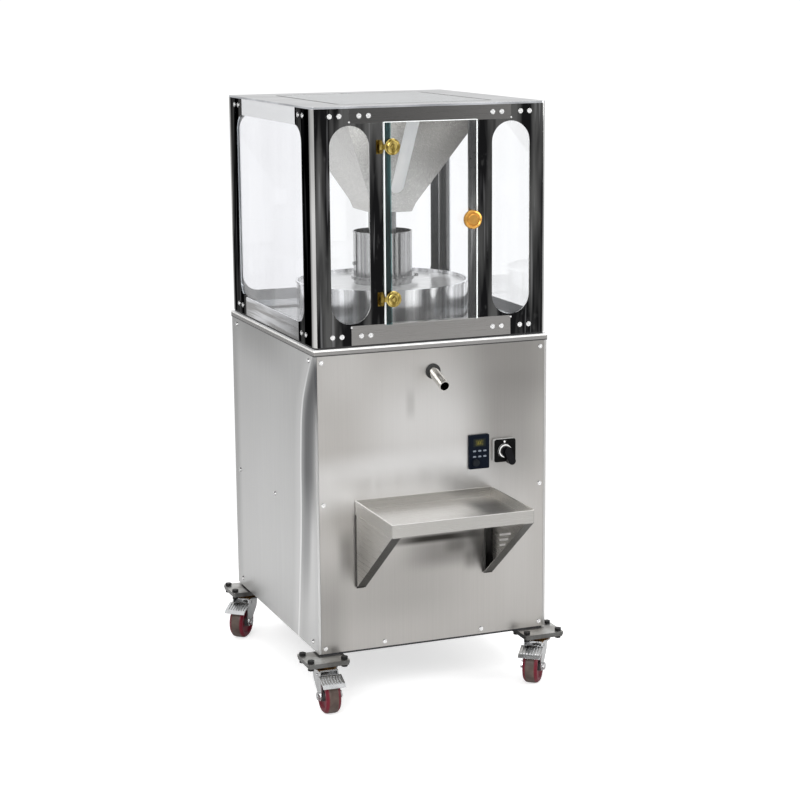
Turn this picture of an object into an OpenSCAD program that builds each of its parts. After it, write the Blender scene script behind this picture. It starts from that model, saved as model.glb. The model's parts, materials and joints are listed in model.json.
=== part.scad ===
// Stone-mill nut butter grinder: sheet-steel cabinet on braked swivel casters,
// framed glass enclosure with hopper, feed tube and mill drum, spout, shelf and controls.
// Millimetres, +Z up, front faces -Y, floor at z = 0.

/* [Cabinet] */
// Cabinet width over the deck rim
cab_w = 520; // [460:1:620]
// Cabinet depth over the deck rim
cab_d = 580; // [540:1:680]
// Cabinet height from panel foot to deck top
cab_h = 640; // [600:1:760]
// Height of the panel foot above the floor
caster_h = 112; // [108:1:130]
// Panel and deck sheet thickness
sheet = 2; // [1.5:0.5:3]
// Height of the deck's down-turned rim
rim_h = 13; // [10:1:30]

/* [Enclosure] */
// Height of the glazed enclosure
enc_h = 480; // [440:1:580]
// Step in from the deck edge to the enclosure
enc_inset = 5; // [3:0.5:15]
// Thickness of the frame plates
plate_t = 2.5; // [2:0.5:4]
// Thickness of the fixed panes
pane_t = 5; // [4:0.5:8]
// Outside bend radius of the corner posts
bend_r = 8; // [5:0.5:12]
// Distance of the front seams and windows from the middle
seam_x = 176; // [160:1:190]
// Width of the round-ended front windows
win_w = 84; // [60:1:96]
// Left edge of the door opening from the middle
open_l = 90; // [70:1:100]
// Right edge of the door opening from the middle
open_r = 80; // [70:1:100]
// Height of the bottom rails
rail_b = 40; // [30:1:60]
// Height of the top rails
rail_t = 34; // [28:1:60]
// Thickness of the door glass
door_t = 6; // [5:0.5:8]
// Overlap of the door on its frame at the hinge side
door_lap = 15; // [12:1:20]

/* [Mill] */
// Drum radius above the deck
drum_r = 184; // [170:1:210]
// Drum height above the deck
drum_h = 95; // [80:1:130]
// Feed tube outer radius
tube_r = 63.5; // [50:0.5:75]
// Feed tube rim height above the deck
tube_h = 200; // [180:1:235]
// Stone radius
stone_r = 150; // [135:1:155]
// Spindle radius
spindle_r = 15; // [12:0.5:20]
// Running clearance of turning parts, on the radius
run_gap = 0.06; // [0.03:0.01:0.1]

/* [Hopper] */
// Half width of the hopper mouth
hop_ax = 164; // [140:1:180]
// Half depth of the hopper mouth
hop_ay = 208; // [180:1:225]
// Half width of the hopper foot
hop_bx = 50; // [40:1:70]
// Half depth of the hopper foot
hop_by = 70; // [50:1:90]
// Hopper fold height above the deck
hop_z = 263; // [250:1:300]
// Sight slot width
slot_w = 30; // [16:1:40]

/* [Spout and shelf] */
// Spout tube outer radius
spout_r = 11; // [8:0.5:16]
// Spout centre below the deck top, at the panel
spout_drop = 61; // [55:1:80]
// Spout tilt below the horizontal
spout_tilt = 18; // [10:1:22]
// Spout reach in front of the panel
spout_out = 63; // [40:1:110]
// Shelf left side from the middle
shelf_l = 175; // [140:1:200]
// Shelf right side from the middle
shelf_r = 132; // [120:1:200]
// Shelf depth from the panel
shelf_d = 212; // [160:1:260]
// Shelf rim height above the panel foot
shelf_z = 322; // [280:1:350]
// Shelf lip height
shelf_lip = 27; // [20:1:40]
// Shelf side height at the panel
shelf_side = 187; // [120:1:240]

/* [Casters] */
// Wheel radius
wheel_r = 37.5; // [32:0.5:40]
// Wheel width
wheel_w = 32; // [24:1:36]
// Mounting plate width
pad_w = 90; // [84:1:110]
// Mounting plate depth
pad_d = 81; // [76:1:100]
// Wheel trail behind the swivel
trail = 37; // [26:1:42]
// Axle radius
axle_r = 4; // [3:0.5:5]
// Kingpin radius
king_r = 6; // [5:0.5:8]

/* [Hidden] */

zb = caster_h;
zd = zb + cab_h;
gasket_t = 4;
ez0 = zd + gasket_t;
ez1 = ez0 + enc_h;
top_t = 4;
post_h = enc_h - top_t;
ex = cab_w/2 - enc_inset;
ey = cab_d/2 - enc_inset;
pin_in = sheet + 0.2;
px = cab_w/2 - pin_in;
py = cab_d/2 - pin_in;
yf = -py;
side_seam = ey - 102;
side_win = ey - 64;
back_seam = ex - 102;
back_win = ex - 27;
win_r = 36;
win_lift = 3;
win_h = enc_h - rail_b - 38 - win_lift;

spout_z = zd - spout_drop;
bowl_r = stone_r + 15;
bowl_w = 5;
bowl_d = 40;
stone_h = 40;
run_top = zd + 13;
fix_bot = run_top + 0.6;
fix_top = fix_bot + stone_h;
lid_top = zd + drum_h - 8;
lid_t = 4;
pul_z = zd - 200;
pul_h = 24;
pul_r = 90;
mot_r = 45;
groove = 9;
belt_gap = 0.3;
belt_t = 8;
mot_y = min(190, py - 97);
mp_z = zd - 223;
shaft_r = 12;

hop_top = ez1 - top_t;
hop_w = 2;
hop_fold = zd + hop_z;
lid_hx = hop_ax + 7.4;
lid_hy = hop_ay + 7.4;
hop_run = (hop_ay - hop_by)/(hop_top - hop_fold);

cx_l = cab_w/2 - 10;
cx_r = cab_w/2 - 22;
cy_f = cab_d/2 + 2;
cy_r = cab_d/2 - 42;
pan_t = 4;
pad_top = zb - pan_t;
pad_t = 6;
cas_t = 4;
race_top = pad_top - pad_t - cas_t;
race_h = 9;
crown_top = race_top - race_h;
crown_t = 3;
fork_in = wheel_w/2 + 2;
fork_t = 2.5;
ped_len = 78;
ped_w = 48;
ped_y = -20;
ped_z = crown_top - 10;
a_fl = 2;
a_fr = 38;
a_rl = 40;
a_rr = 24;
bolt_x = pad_w/2 - 8.5;
bolt_y = pad_d/2 - 13;
plate_hw = pad_w/2;
left_ext = max(plate_hw, ped_len*sin(a_rl) + ped_w/2*cos(a_rl), ped_len*sin(a_fl) + ped_w/2*cos(a_fl));
gland_out = 22;
off_x = (cx_l + left_ext - cx_r - plate_hw)/2;
off_y = -((yf - shelf_d) + (py + gland_out))/2;

hinge_x = -open_l - door_lap - 7;
hinge_y = -ey - 8;
hinge_zu = ez0 + enc_h*0.83;
hinge_zl = ez0 + enc_h*0.19;
cap_x = -open_l + 2;
cap_r = 16.5;
bar_r = 4.5;
pin_r = 2;
door_x0 = -open_l - door_lap;
door_x1 = open_r + 19;
door_z0 = ez0 + rail_b - 1;
door_z1 = ez1 - rail_t + 2;
door_y = -ey - 1;
knob_x = open_r + 2;
knob_z = ez0 + enc_h*0.513;
knob_r = 19.5;

key_x = 102;
key_z = zb + 400;
key_w = 46;
key_h = 73;
key_t = 4.5;
sw_x = 159;
sw_z = zb + 399;
sw_w = 49;
sw_t = 9;
knob2_x = key_x - 9;
knob2_z = key_z - 22;

module place() {
  translate([off_x, off_y, 0]) children();
}

// ---- 2D helpers, exact arcs only ----
module rrect(w, h, r, n = 20) {
  square([w - 2*r, h], center = true);
  square([w, h - 2*r], center = true);
  for (sx = [-1, 1])
    for (sy = [-1, 1])
      translate([sx*(w/2 - r), sy*(h/2 - r)]) circle(r = r, $fn = n);
}

module stadium(w, h) {
  square([w, h - w], center = true);
  for (s = [-1, 1])
    translate([0, s*(h - w)/2]) circle(d = w, $fn = 32);
}

module along_y(y0, y1) {
  translate([0, y1, 0]) rotate([90, 0, 0]) linear_extrude(y1 - y0) children();
}

module along_x(x0, x1) {
  translate([x0, 0, 0]) rotate([90, 0, 90]) linear_extrude(x1 - x0) children();
}

module box(x0, x1, y0, y1, z0, z1) {
  translate([x0, y0, z0]) cube([x1 - x0, y1 - y0, z1 - z0]);
}

module tube(ro, ri, h, n = 48) {
  difference() {
    cylinder(r = ro, h = h, $fn = n);
    translate([0, 0, -1]) cylinder(r = ri, h = h + 2, $fn = n);
  }
}

// bent sheet corner, legs toward +X and +Y from the corner at the origin
module corner2d(la, lb, t, r) {
  translate([r, 0]) square([la - r, t]);
  translate([0, r]) square([t, lb - r]);
  translate([r, r])
    intersection() {
      difference() {
        circle(r = r, $fn = 32);
        circle(r = r - t, $fn = 32);
      }
      translate([-r - 1, -r - 1]) square([r + 1, r + 1]);
    }
}

// ---- cabinet ----
panel_zs = [zd - zb - 26, 318, 11];

module frame_upright() {
  ux = px - sheet;
  uy = py - sheet;
  translate([-ux, -uy, zb]) cube([30, 3, cab_h - sheet]);
  translate([-ux, -uy, zb]) cube([3, 30, cab_h - sheet]);
}

module base_frame() {
  ux = px - sheet;
  uy = py - sheet;
  color([0.12, 0.12, 0.13])
  place() difference() {
    union() {
      for (sx = [0, 1])
        for (sy = [0, 1])
          mirror([sx, 0, 0]) mirror([0, sy, 0]) frame_upright();
      box(-px + 8, px - 8, -py + 0.8, py - 2, pad_top, zb);
      for (s = [0, 1])
        mirror([s, 0, 0]) {
          box(-ux, -ux + 3, -uy, uy, zb, zb + 30);
          box(-ux, -ux + 3, -uy, uy, mp_z - 22, mp_z + 8);
          box(-ux, -ux + 3, -uy, uy, zd - sheet - 25, zd - sheet);
        }
      for (s = [0, 1])
        mirror([0, s, 0]) {
          box(-ux, ux, -uy, -uy + 3, zb, zb + 30);
          box(-ux, ux, -uy, -uy + 3, zd - sheet - 25, zd - sheet);
        }
      box(-ux, ux, mot_y - 95, mot_y + 88, mp_z, mp_z + 8);
    }
    translate([0, mot_y, mp_z - 1]) cylinder(r = 40, h = 10, $fn = 32);
    for (sx = [-1, 1])
      for (sy = [-1, 1])
        caster_at(sx, sy) for (iy = [-1, 1]) translate([-sx*bolt_x, iy*bolt_y, pad_top - 1]) cylinder(r = 4.3, h = pan_t + 2, $fn = 16);
  }
}

module panel_front() {
  color([0.72, 0.71, 0.69])
  place() difference() {
    box(-px + 5.5, px - 5.5, -py, -py + sheet, zb, zd - sheet);
    along_y(-py - 1, -py + sheet + 1) translate([0, spout_z]) circle(r = spout_r + 4, $fn = 32);
    box(key_x - 19, key_x + 19, -py - 1, -py + sheet + 1, key_z - 33, key_z + 33);
    along_y(-py - 1, -py + sheet + 1) translate([sw_x, sw_z]) circle(r = 16, $fn = 32);
  }
}

module side_panel() {
  box(-px, -px + sheet, -py, py, zb, zd - sheet);
  box(-px, -px + 5, -py, -py + sheet, zb, zd - sheet);
  box(-px, -px + 5, py - sheet, py, zb, zd - sheet);
}

module panel_left() {
  color([0.74, 0.73, 0.72]) place() side_panel();
}

module panel_right() {
  color([0.74, 0.73, 0.72]) place() mirror([1, 0, 0]) side_panel();
}

module panel_back() {
  color([0.72, 0.71, 0.69])
  place() difference() {
    box(-px + 5.5, px - 5.5, py - sheet, py, zb, zd - sheet);
    for (i = [0 : 7])
      along_y(py - sheet - 1, py + 1) translate([0, zb + 120 + i*22]) rrect(180, 7, 3.4, 16);
    along_y(py - sheet - 1, py + 1) translate([170, zb + 60]) circle(r = 10, $fn = 24);
  }
}

module top_deck() {
  color([0.78, 0.78, 0.77])
  place() difference() {
    translate([0, 0, zd - rim_h]) linear_extrude(rim_h) rrect(cab_w, cab_d, 4);
    translate([0, 0, zd - rim_h - 1]) linear_extrude(rim_h + 1 - sheet)
      square([cab_w - 2*sheet, cab_d - 2*sheet], center = true);
    translate([0, 0, zd - rim_h - 1]) cylinder(r = bowl_r + 1, h = rim_h + 2, $fn = 64);
  }
}

module screw(r = 5.2, h = 2.6, l = 2) {
  difference() {
    union() {
      cylinder(r = r, h = h*0.55, $fn = 12);
      translate([0, 0, h*0.55]) cylinder(r = r*0.74, h = h*0.45, $fn = 12);
    }
    translate([0, 0, h - 1]) cylinder(r = r*0.34, h = 2, $fn = 6);
  }
}

module screw_f(x, z, y, r = 5.2) {
  translate([x, y, z]) rotate([90, 0, 0]) screw(r);
}

module screw_s(y, z, x, r = 5.2) {
  translate([x, y, z]) rotate([0, -90, 0]) screw(r);
}

module screws_cabinet_front() {
  for (z = panel_zs)
    for (s = [-1, 1]) screw_f(s*(px - 14.5), zb + z, yf, 4.6);
  for (x = [-112, 108]) screw_f(x, zb + 11, yf, 4.6);
}

module screws_cabinet_side() {
  for (s = [-1, 1])
    for (z = [zd - zb - 26, 18]) screw_s(s*(py - 37), zb + z, -px, 4.6);
  screw_s(py - 37, zb + 276, -px, 4.6);
  screw_s(-8, zb + 280, -px, 4.6);
}

module screws_frame_front() {
  for (s = [-1, 1])
    for (d = [-41, -21, 21, 41]) {
      screw_f(s*seam_x + d, ez1 - 19, -ey);
      screw_f(s*seam_x + d, ez0 + 19, -ey);
    }
  for (s = [-1, 1])
    for (z = [ez1 - 31, ez0 + rail_b - 3]) screw_f(s*seam_x, z, -ey, 2);
}

module screws_frame_side() {
  for (s = [-1, 1])
    for (d = [23, 51]) {
      screw_s(s*(side_seam + d), ez1 - 18, -ex);
      screw_s(s*(side_seam + d), ez0 + 20, -ex);
    }
}

module screws() {
  color([0.85, 0.85, 0.84])
  place() {
    screws_cabinet_front();
    mirror([0, 1, 0]) screws_cabinet_front();
    for (s = [0, 1])
      mirror([s, 0, 0]) {
        screws_cabinet_side();
        screws_frame_side();
      }
    screws_frame_front();
    mirror([0, 1, 0])
      for (s = [-1, 1])
        for (d = [23, 51]) {
          screw_f(s*(back_seam + d), ez1 - 18, -ey);
          screw_f(s*(back_seam + d), ez0 + 20, -ey);
        }
  }
}

// ---- enclosure ----
module gasket() {
  color([0.05, 0.05, 0.05])
  place() translate([0, 0, zd]) linear_extrude(gasket_t)
    difference() {
      rrect(2*ex - 3, 2*ey - 3, bend_r - 1.5);
      rrect(2*ex - 24, 2*ey - 24, 3);
    }
}

// openings of one side wall, drawn as (distance from the middle, height)
module side_cuts(win, seam, edge) {
  translate([0, ez0 + rail_b + (enc_h - rail_b - 39)/2]) rrect(2*win, enc_h - rail_b - 39, win_r);
  translate([-seam, ez0 - 1]) square([2*seam, rail_b + 1]);
  translate([-seam, ez1 - 39]) square([2*seam, 50]);
  translate([-seam, ez0 + rail_b - 1]) square([2*seam, enc_h - rail_b - 36]);
}

module post_front(inner) {
  difference() {
    translate([-ex, -ey, ez0]) linear_extrude(post_h) corner2d(ex - inner, ey - side_seam, plate_t, bend_r);
    along_y(-ey - 1, -ey + plate_t + 1) {
      translate([-seam_x, ez0 + rail_b + win_lift + win_h/2]) stadium(win_w, win_h);
      translate([-seam_x, ez0 - 1]) square([seam_x, rail_b + 1]);
      translate([-seam_x, ez1 - rail_t]) square([seam_x, rail_t + 1]);
    }
    along_x(-ex - 1, -ex + plate_t + 1) side_cuts(side_win, side_seam, ey);
  }
}

module posts_front() {
  color([0.2, 0.2, 0.21])
  place() {
    post_front(open_l);
    mirror([1, 0, 0]) post_front(open_r);
  }
}

module post_back() {
  difference() {
    translate([-ex, -ey, ez0]) linear_extrude(post_h)
      corner2d(ex - back_seam, ey - side_seam, plate_t, bend_r);
    along_y(-ey - 1, -ey + plate_t + 1) side_cuts(back_win, back_seam, ex);
    along_x(-ex - 1, -ex + plate_t + 1) side_cuts(side_win, side_seam, ey);
  }
}

module posts_back() {
  color([0.2, 0.2, 0.21])
  place() mirror([0, 1, 0]) {
    post_back();
    mirror([1, 0, 0]) post_back();
  }
}

module rails_front() {
  color([0.62, 0.61, 0.59])
  place() {
    box(-seam_x, seam_x, -ey, -ey + plate_t, ez0, ez0 + rail_b);
    box(-seam_x, seam_x, -ey, -ey + plate_t, ez1 - rail_t, ez1 - top_t);
    box(-open_l, open_r, -ey + plate_t - 0.1, -ey + 14, ez0 + rail_b - 2, ez0 + rail_b);
    box(-open_l, open_r, -ey + plate_t - 0.1, -ey + 14, ez1 - rail_t, ez1 - rail_t + 2);
  }
}

module rails_closed() {
  color([0.62, 0.61, 0.59])
  place() {
    for (s = [0, 1])
      mirror([s, 0, 0]) {
        box(-ex, -ex + plate_t, -side_seam, side_seam, ez0, ez0 + rail_b);
        box(-ex, -ex + plate_t, -side_seam, side_seam, ez1 - 39, ez1 - top_t);
      }
    box(-back_seam, back_seam, ey - plate_t, ey, ez0, ez0 + rail_b);
    box(-back_seam, back_seam, ey - plate_t, ey, ez1 - 39, ez1 - top_t);
  }
}

module glass_front() {
  color([0.75, 0.85, 0.85, 0.35])
  place()
    for (s = [0, 1])
      mirror([s, 0, 0])
        box(-ex + 10, -open_l - 4, -ey + plate_t, -ey + plate_t + pane_t, ez0 + 22, ez1 - 20);
}

module glass_closed() {
  gy = ey - plate_t - pane_t - 1;
  color([0.75, 0.85, 0.85, 0.35])
  place() {
    for (s = [0, 1])
      mirror([s, 0, 0]) box(-ex + plate_t, -ex + plate_t + pane_t, -gy, gy, ez0 + 16, ez1 - 20);
    box(-ex + 10, ex - 10, ey - plate_t - pane_t, ey - plate_t, ez0 + 16, ez1 - 20);
  }
}

module top_frame() {
  color([0.85, 0.86, 0.88])
  place() translate([0, 0, ez1 - top_t]) linear_extrude(top_t)
    difference() {
      rrect(2*ex, 2*ey, bend_r);
      rrect(2*lid_hx + 1.2, 2*lid_hy + 1.2, 24.6);
      translate([0, lid_hy - 2]) circle(r = 15, $fn = 32);
    }
}

module lid_glass() {
  color([0.8, 0.9, 0.95, 0.4])
  place() translate([0, 0, ez1 - top_t]) linear_extrude(top_t) rrect(2*lid_hx, 2*lid_hy, 24);
}

module door_glass() {
  color([0.7, 0.85, 0.85, 0.35])
  place() difference() {
    along_y(door_y - door_t, door_y)
      translate([(door_x0 + door_x1)/2, (door_z0 + door_z1)/2]) rrect(door_x1 - door_x0, door_z1 - door_z0, 2, 16);
    for (z = [hinge_zl, hinge_zu])
      along_y(door_y - door_t - 1, door_y + 1) translate([cap_x, z]) circle(r = 4, $fn = 24);
    along_y(door_y - door_t - 1, door_y + 1) translate([knob_x, knob_z]) circle(r = 3, $fn = 24);
  }
}

module hinge_base() {
  for (s = [0, 1])
    mirror([0, 0, s])
      translate([0, 0, 5.2]) {
        translate([hinge_x, hinge_y, 0]) cylinder(r = bar_r, h = 6, $fn = 32);
        box(hinge_x - 3.5, hinge_x + 3.5, hinge_y, -ey, 0, 6);
      }
  box(hinge_x - 7, hinge_x + 5, -ey - 1.6, -ey, -14, 14);
  translate([hinge_x, hinge_y, -13]) cylinder(r = pin_r, h = 26, $fn = 24);
}

module hinge_bases() {
  color([0.8, 0.62, 0.25])
  place() for (z = [hinge_zl, hinge_zu]) translate([0, 0, z]) hinge_base();
}

module hinge_clamp() {
  gf = door_y - door_t;
  difference() {
    union() {
      translate([hinge_x, hinge_y, -5]) cylinder(r = bar_r, h = 10, $fn = 32);
      box(hinge_x, cap_x, gf - 4, gf, -5, 5);
      translate([cap_x, gf, 0]) rotate([90, 0, 0])
        rotate_extrude($fn = 40)
          polygon([[0, 0], [cap_r - 1, 0], [cap_r, 1], [cap_r, 4.5], [cap_r - 1, 5.5], [cap_r - 3.5, 5.5],
            [cap_r - 3.5, 9], [cap_r - 5, 10], [9, 10], [9, 8.6], [0, 8.6]]);
      translate([cap_x, gf - 8.5, 0]) rotate([90, 0, 0]) cylinder(r = 6.8, h = 4, $fn = 4);
      translate([cap_x, gf + door_t, 0]) rotate([90, 0, 0]) cylinder(r = 4, h = door_t + 1, $fn = 24);
    }
    translate([hinge_x, hinge_y, -6]) cylinder(r = pin_r + run_gap, h = 12, $fn = 24);
  }
}

module hinge_clamps() {
  color([0.83, 0.66, 0.28])
  place() for (z = [hinge_zl, hinge_zu]) translate([0, 0, z]) hinge_clamp();
}

module door_knob() {
  gf = door_y - door_t;
  color([0.88, 0.6, 0.2])
  place() translate([knob_x, 0, knob_z]) {
    translate([0, gf + door_t, 0]) rotate([90, 0, 0]) cylinder(r = 3, h = door_t + 3, $fn = 24);
    translate([0, gf, 0]) rotate([90, 0, 0]) cylinder(r = 9, h = 8.1, $fn = 32);
    translate([0, gf - 8, 0]) rotate([90, 0, 0])
      rotate_extrude($fn = 40)
        polygon([[0, 0], [knob_r - 3, 0], [knob_r, 3], [knob_r, 8], [knob_r - 1.5, 10.5], [knob_r - 4.5, 11.5],
          [knob_r - 6, 10.3], [knob_r - 7.5, 10.3], [knob_r - 9, 12], [0, 12.5]]);
  }
}

// ---- hopper, feed tube and mill ----
module frustum(ax, ay, bx, by, z0, z1) {
  polyhedron(
    points = [[-bx, -by, z0], [bx, -by, z0], [bx, by, z0], [-bx, by, z0],
      [-ax, -ay, z1], [ax, -ay, z1], [ax, ay, z1], [-ax, ay, z1]],
    faces = [[0, 1, 2, 3], [7, 6, 5, 4], [4, 5, 1, 0], [5, 6, 2, 1], [6, 7, 3, 2], [7, 4, 0, 3]]);
}

out_r = 30;
skirt_h = 18;
out_bot = zd + tube_h - 12;

module hopper() {
  color([0.7, 0.68, 0.65])
  place() difference() {
    union() {
      frustum(hop_ax, hop_ay, hop_bx, hop_by, hop_fold, hop_top - 1);
      box(-hop_ax - 20, hop_ax + 20, -hop_ay - 20, hop_ay + 20, hop_top - 2, hop_top);
      frustum(hop_bx, hop_by, hop_bx - 5, hop_by - 9, hop_fold - skirt_h, hop_fold);
      translate([0, 0, out_bot]) cylinder(r = out_r, h = hop_fold - out_bot, $fn = 40);
    }
    frustum(hop_ax - hop_w, hop_ay - hop_w, hop_bx - hop_w, hop_by - hop_w, hop_fold, hop_top + 0.01);
    frustum(hop_bx - hop_w, hop_by - hop_w, hop_bx - 6 - hop_w, hop_by - 10 - hop_w, hop_fold - skirt_h + 2, hop_fold + 0.01);
    translate([0, 0, out_bot - 1]) cylinder(r = out_r - 1.5, h = hop_fold - out_bot + 5, $fn = 40);
    along_y(-hop_ay - 1, -hop_by + 30)
      translate([0, (hop_fold + 24 + hop_top - 22)/2]) stadium(slot_w, hop_top - hop_fold - 46);
  }
}

module hopper_window() {
  z0 = hop_fold + 14;
  z1 = hop_top - 14;
  y0 = 0.25 - (hop_by - hop_w) - hop_run*(z0 - hop_fold);
  y1 = 0.25 - (hop_by - hop_w) - hop_run*(z1 - hop_fold);
  color([0.92, 0.94, 0.95, 0.5])
  place() along_x(-slot_w/2 - 5, slot_w/2 + 5) polygon([[y0, z0], [y0 + 3.5, z0], [y1 + 3.5, z1], [y1, z1]]);
}

module feed_tube() {
  color([0.8, 0.8, 0.8])
  place() {
    translate([0, 0, fix_top]) tube(tube_r, tube_r - 1.6, zd + tube_h - fix_top, 56);
    translate([0, 0, zd + tube_h - 3]) tube(tube_r + 0.9, tube_r - 0.5, 3, 56);
    translate([-tube_r + 0.8, 0, zd + 132]) rotate([0, -90, 0]) cylinder(r = 3.5, h = 6, $fn = 16);
  }
}

module tube_clamp() {
  z0 = lid_top + 9;
  color([0.75, 0.75, 0.74])
  place() {
    translate([0, 0, z0]) tube(tube_r + 5, tube_r, 7, 56);
    difference() {
      box(tube_r + 3, tube_r + 17, -7, 7, z0, z0 + 7);
      box(tube_r + 5.5, tube_r + 18, -1.5, 1.5, z0 - 1, z0 + 8);
    }
    translate([tube_r + 11.5, 11, z0 + 3.5]) rotate([90, 0, 0]) cylinder(r = 2, h = 24, $fn = 14);
  }
}

module drum() {
  color([0.8, 0.8, 0.81])
  place() difference() {
    union() {
      translate([0, 0, zd]) cylinder(r = drum_r, h = drum_h, $fn = 80);
      translate([0, 0, zd + drum_h - 4]) cylinder(r = drum_r + 2, h = 4, $fn = 80);
      translate([0, 0, zd - bowl_d]) cylinder(r = bowl_r, h = bowl_d + 1, $fn = 64);
    }
    translate([0, 0, zd + 6]) cylinder(r = drum_r - 12, h = drum_h, $fn = 80);
    translate([0, 0, lid_top - lid_t]) cylinder(r = drum_r - 3, h = drum_h, $fn = 80);
    translate([0, 0, zd - bowl_d + bowl_w]) cylinder(r = bowl_r - bowl_w, h = 200, $fn = 64);
    translate([0, 0, zd - bowl_d - 1]) cylinder(r = spindle_r + 3, h = 20, $fn = 32);
    translate([0, yf, spout_z]) rotate([spout_tilt, 0, 0]) rotate([-90, 0, 0])
      cylinder(r = spout_r, h = (py - bowl_r + 14)/cos(spout_tilt), $fn = 32);
  }
}

module drum_lid() {
  color([0.82, 0.82, 0.83])
  place() {
    difference() {
      translate([0, 0, lid_top - lid_t]) cylinder(r = drum_r - 3.4, h = lid_t, $fn = 72);
      translate([0, 0, lid_top - lid_t - 1]) cylinder(r = tube_r + 0.1, h = lid_t + 2, $fn = 56);
    }
    for (a = [30, 150, 270])
      rotate([0, 0, a]) translate([(tube_r + stone_r)/2, 0, fix_top])
        cylinder(r = 10, h = lid_top - lid_t - fix_top + 0.5, $fn = 24);
  }
}

module upper_stone() {
  color([0.55, 0.53, 0.5])
  place() translate([0, 0, fix_bot]) tube(stone_r, 40, stone_h, 56);
}

module runner_stone() {
  color([0.5, 0.48, 0.46])
  place() translate([0, 0, run_top - stone_h]) tube(stone_r, spindle_r, stone_h, 56);
}

module spindle() {
  color([0.7, 0.7, 0.7])
  place() {
    translate([0, 0, pul_z - 5]) cylinder(r = spindle_r, h = run_top - pul_z + 5, $fn = 40);
    translate([0, 0, run_top - stone_h - 5]) cylinder(r = 62, h = 5, $fn = 40);
    translate([0, 0, run_top]) cylinder(r = 23, h = 12, $fn = 6);
    rotate([0, 0, 25]) box(55, stone_r + 6, -4, 4, run_top - stone_h - 5, run_top - stone_h);
  }
}

module bearing_housing() {
  bz = zd - bowl_d;
  color([0.35, 0.36, 0.38])
  place() difference() {
    union() {
      translate([0, 0, bz - 10]) cylinder(r = 68, h = 10, $fn = 40);
      translate([0, 0, bz - 112]) cylinder(r = 40, h = 104, $fn = 40);
    }
    translate([0, 0, bz - 113]) cylinder(r = spindle_r + run_gap, h = 114, $fn = 40);
    for (a = [45 : 90 : 315])
      rotate([0, 0, a]) translate([55, 0, bz - 11]) cylinder(r = 4.5, h = 8, $fn = 16);
  }
}

module pulley2d(r, ri, h) {
  polygon([[ri, -6], [ri + 14, -6], [ri + 14, 0], [r, 0], [r, 5], [r - groove, 7], [r - groove, h - 7],
    [r, h - 5], [r, h], [ri + 14, h], [ri + 14, h + 8], [ri, h + 8]]);
}

module driven_pulley() {
  color([0.45, 0.46, 0.48])
  place() translate([0, 0, pul_z]) rotate_extrude($fn = 56) pulley2d(pul_r, spindle_r, pul_h);
}

module belt_loop(g) {
  ra = pul_r - groove + g;
  rb = mot_r - groove + g;
  a = asin((ra - rb)/mot_y);
  circle(r = ra, $fn = 56);
  translate([0, mot_y]) circle(r = rb, $fn = 40);
  polygon([[ra*cos(a), ra*sin(a)], [rb*cos(a), mot_y + rb*sin(a)],
    [-rb*cos(a), mot_y + rb*sin(a)], [-ra*cos(a), ra*sin(a)]]);
}

module belt() {
  color([0.05, 0.05, 0.05])
  place() translate([0, 0, pul_z + pul_h/2 - 4.2]) linear_extrude(8.4)
    difference() {
      belt_loop(belt_gap + belt_t);
      belt_loop(belt_gap);
    }
}

module drive_pulley() {
  color([0.45, 0.46, 0.48])
  place() translate([0, mot_y, 0]) {
    translate([0, 0, pul_z]) rotate_extrude($fn = 40) pulley2d(mot_r, shaft_r - 0.1, pul_h);
    translate([0, 0, mp_z - 30]) cylinder(r = shaft_r, h = pul_z + pul_h + 10 - mp_z + 30, $fn = 32);
  }
}

module motor() {
  color([0.25, 0.32, 0.42])
  place() translate([0, mot_y, 0]) difference() {
    union() {
      translate([0, 0, mp_z - 10]) cylinder(r = 85, h = 10, $fn = 40);
      translate([0, 0, mp_z - 240]) cylinder(r = 72, h = 231, $fn = 40);
      for (a = [0 : 20 : 359])
        rotate([0, 0, a]) translate([70, -1.5, mp_z - 190]) cube([8, 3, 150]);
      box(-45, 45, -108, -60, mp_z - 150, mp_z - 60);
    }
    translate([0, 0, mp_z - 32]) cylinder(r = shaft_r + run_gap, h = 40, $fn = 32);
  }
}

// ---- spout, shelf, controls ----
module spout() {
  len_in = (py - bowl_r + 8)/cos(spout_tilt);
  len_out = spout_out/cos(spout_tilt);
  color([0.8, 0.79, 0.77])
  place() translate([0, yf, spout_z]) rotate([spout_tilt, 0, 0])
    translate([0, -len_out, 0]) rotate([-90, 0, 0]) tube(spout_r, spout_r - 1.5, len_in + len_out, 40);
}

module grommet() {
  color([0.05, 0.05, 0.05])
  place() difference() {
    union() {
      along_y(yf - 2.5, yf) translate([0, spout_z]) circle(r = spout_r + 5, $fn = 32);
      along_y(yf - 1, yf + sheet + 2) translate([0, spout_z]) circle(r = spout_r + 4, $fn = 32);
    }
    translate([0, yf, spout_z]) rotate([spout_tilt, 0, 0]) translate([0, -12, 0]) rotate([-90, 0, 0])
      cylinder(r = spout_r, h = 30, $fn = 40);
  }
}

module shelf() {
  z1 = zb + shelf_z;
  t = 1.5;
  color([0.74, 0.73, 0.71])
  place() difference() {
    box(-shelf_l + t, shelf_r - t, yf - shelf_d, yf, z1 - shelf_lip, z1 - 0.6);
    box(-shelf_l + 2*t, shelf_r - 2*t, yf - shelf_d + t, yf - t, z1 - shelf_lip + 7, z1 + 1);
    box(-shelf_l + 2*t, shelf_r - 2*t, yf - shelf_d + t, yf - t, z1 - shelf_lip - 1, z1 - shelf_lip + 5.5);
  }
}

bk_gap = 4;
bk_t = 1.5;

module bracket_side() {
  z1 = zb + shelf_z;
  polygon([[yf - bk_gap, z1], [yf - shelf_d, z1], [yf - shelf_d, z1 - shelf_lip], [yf - bk_gap, z1 - shelf_side]]);
}

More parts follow.
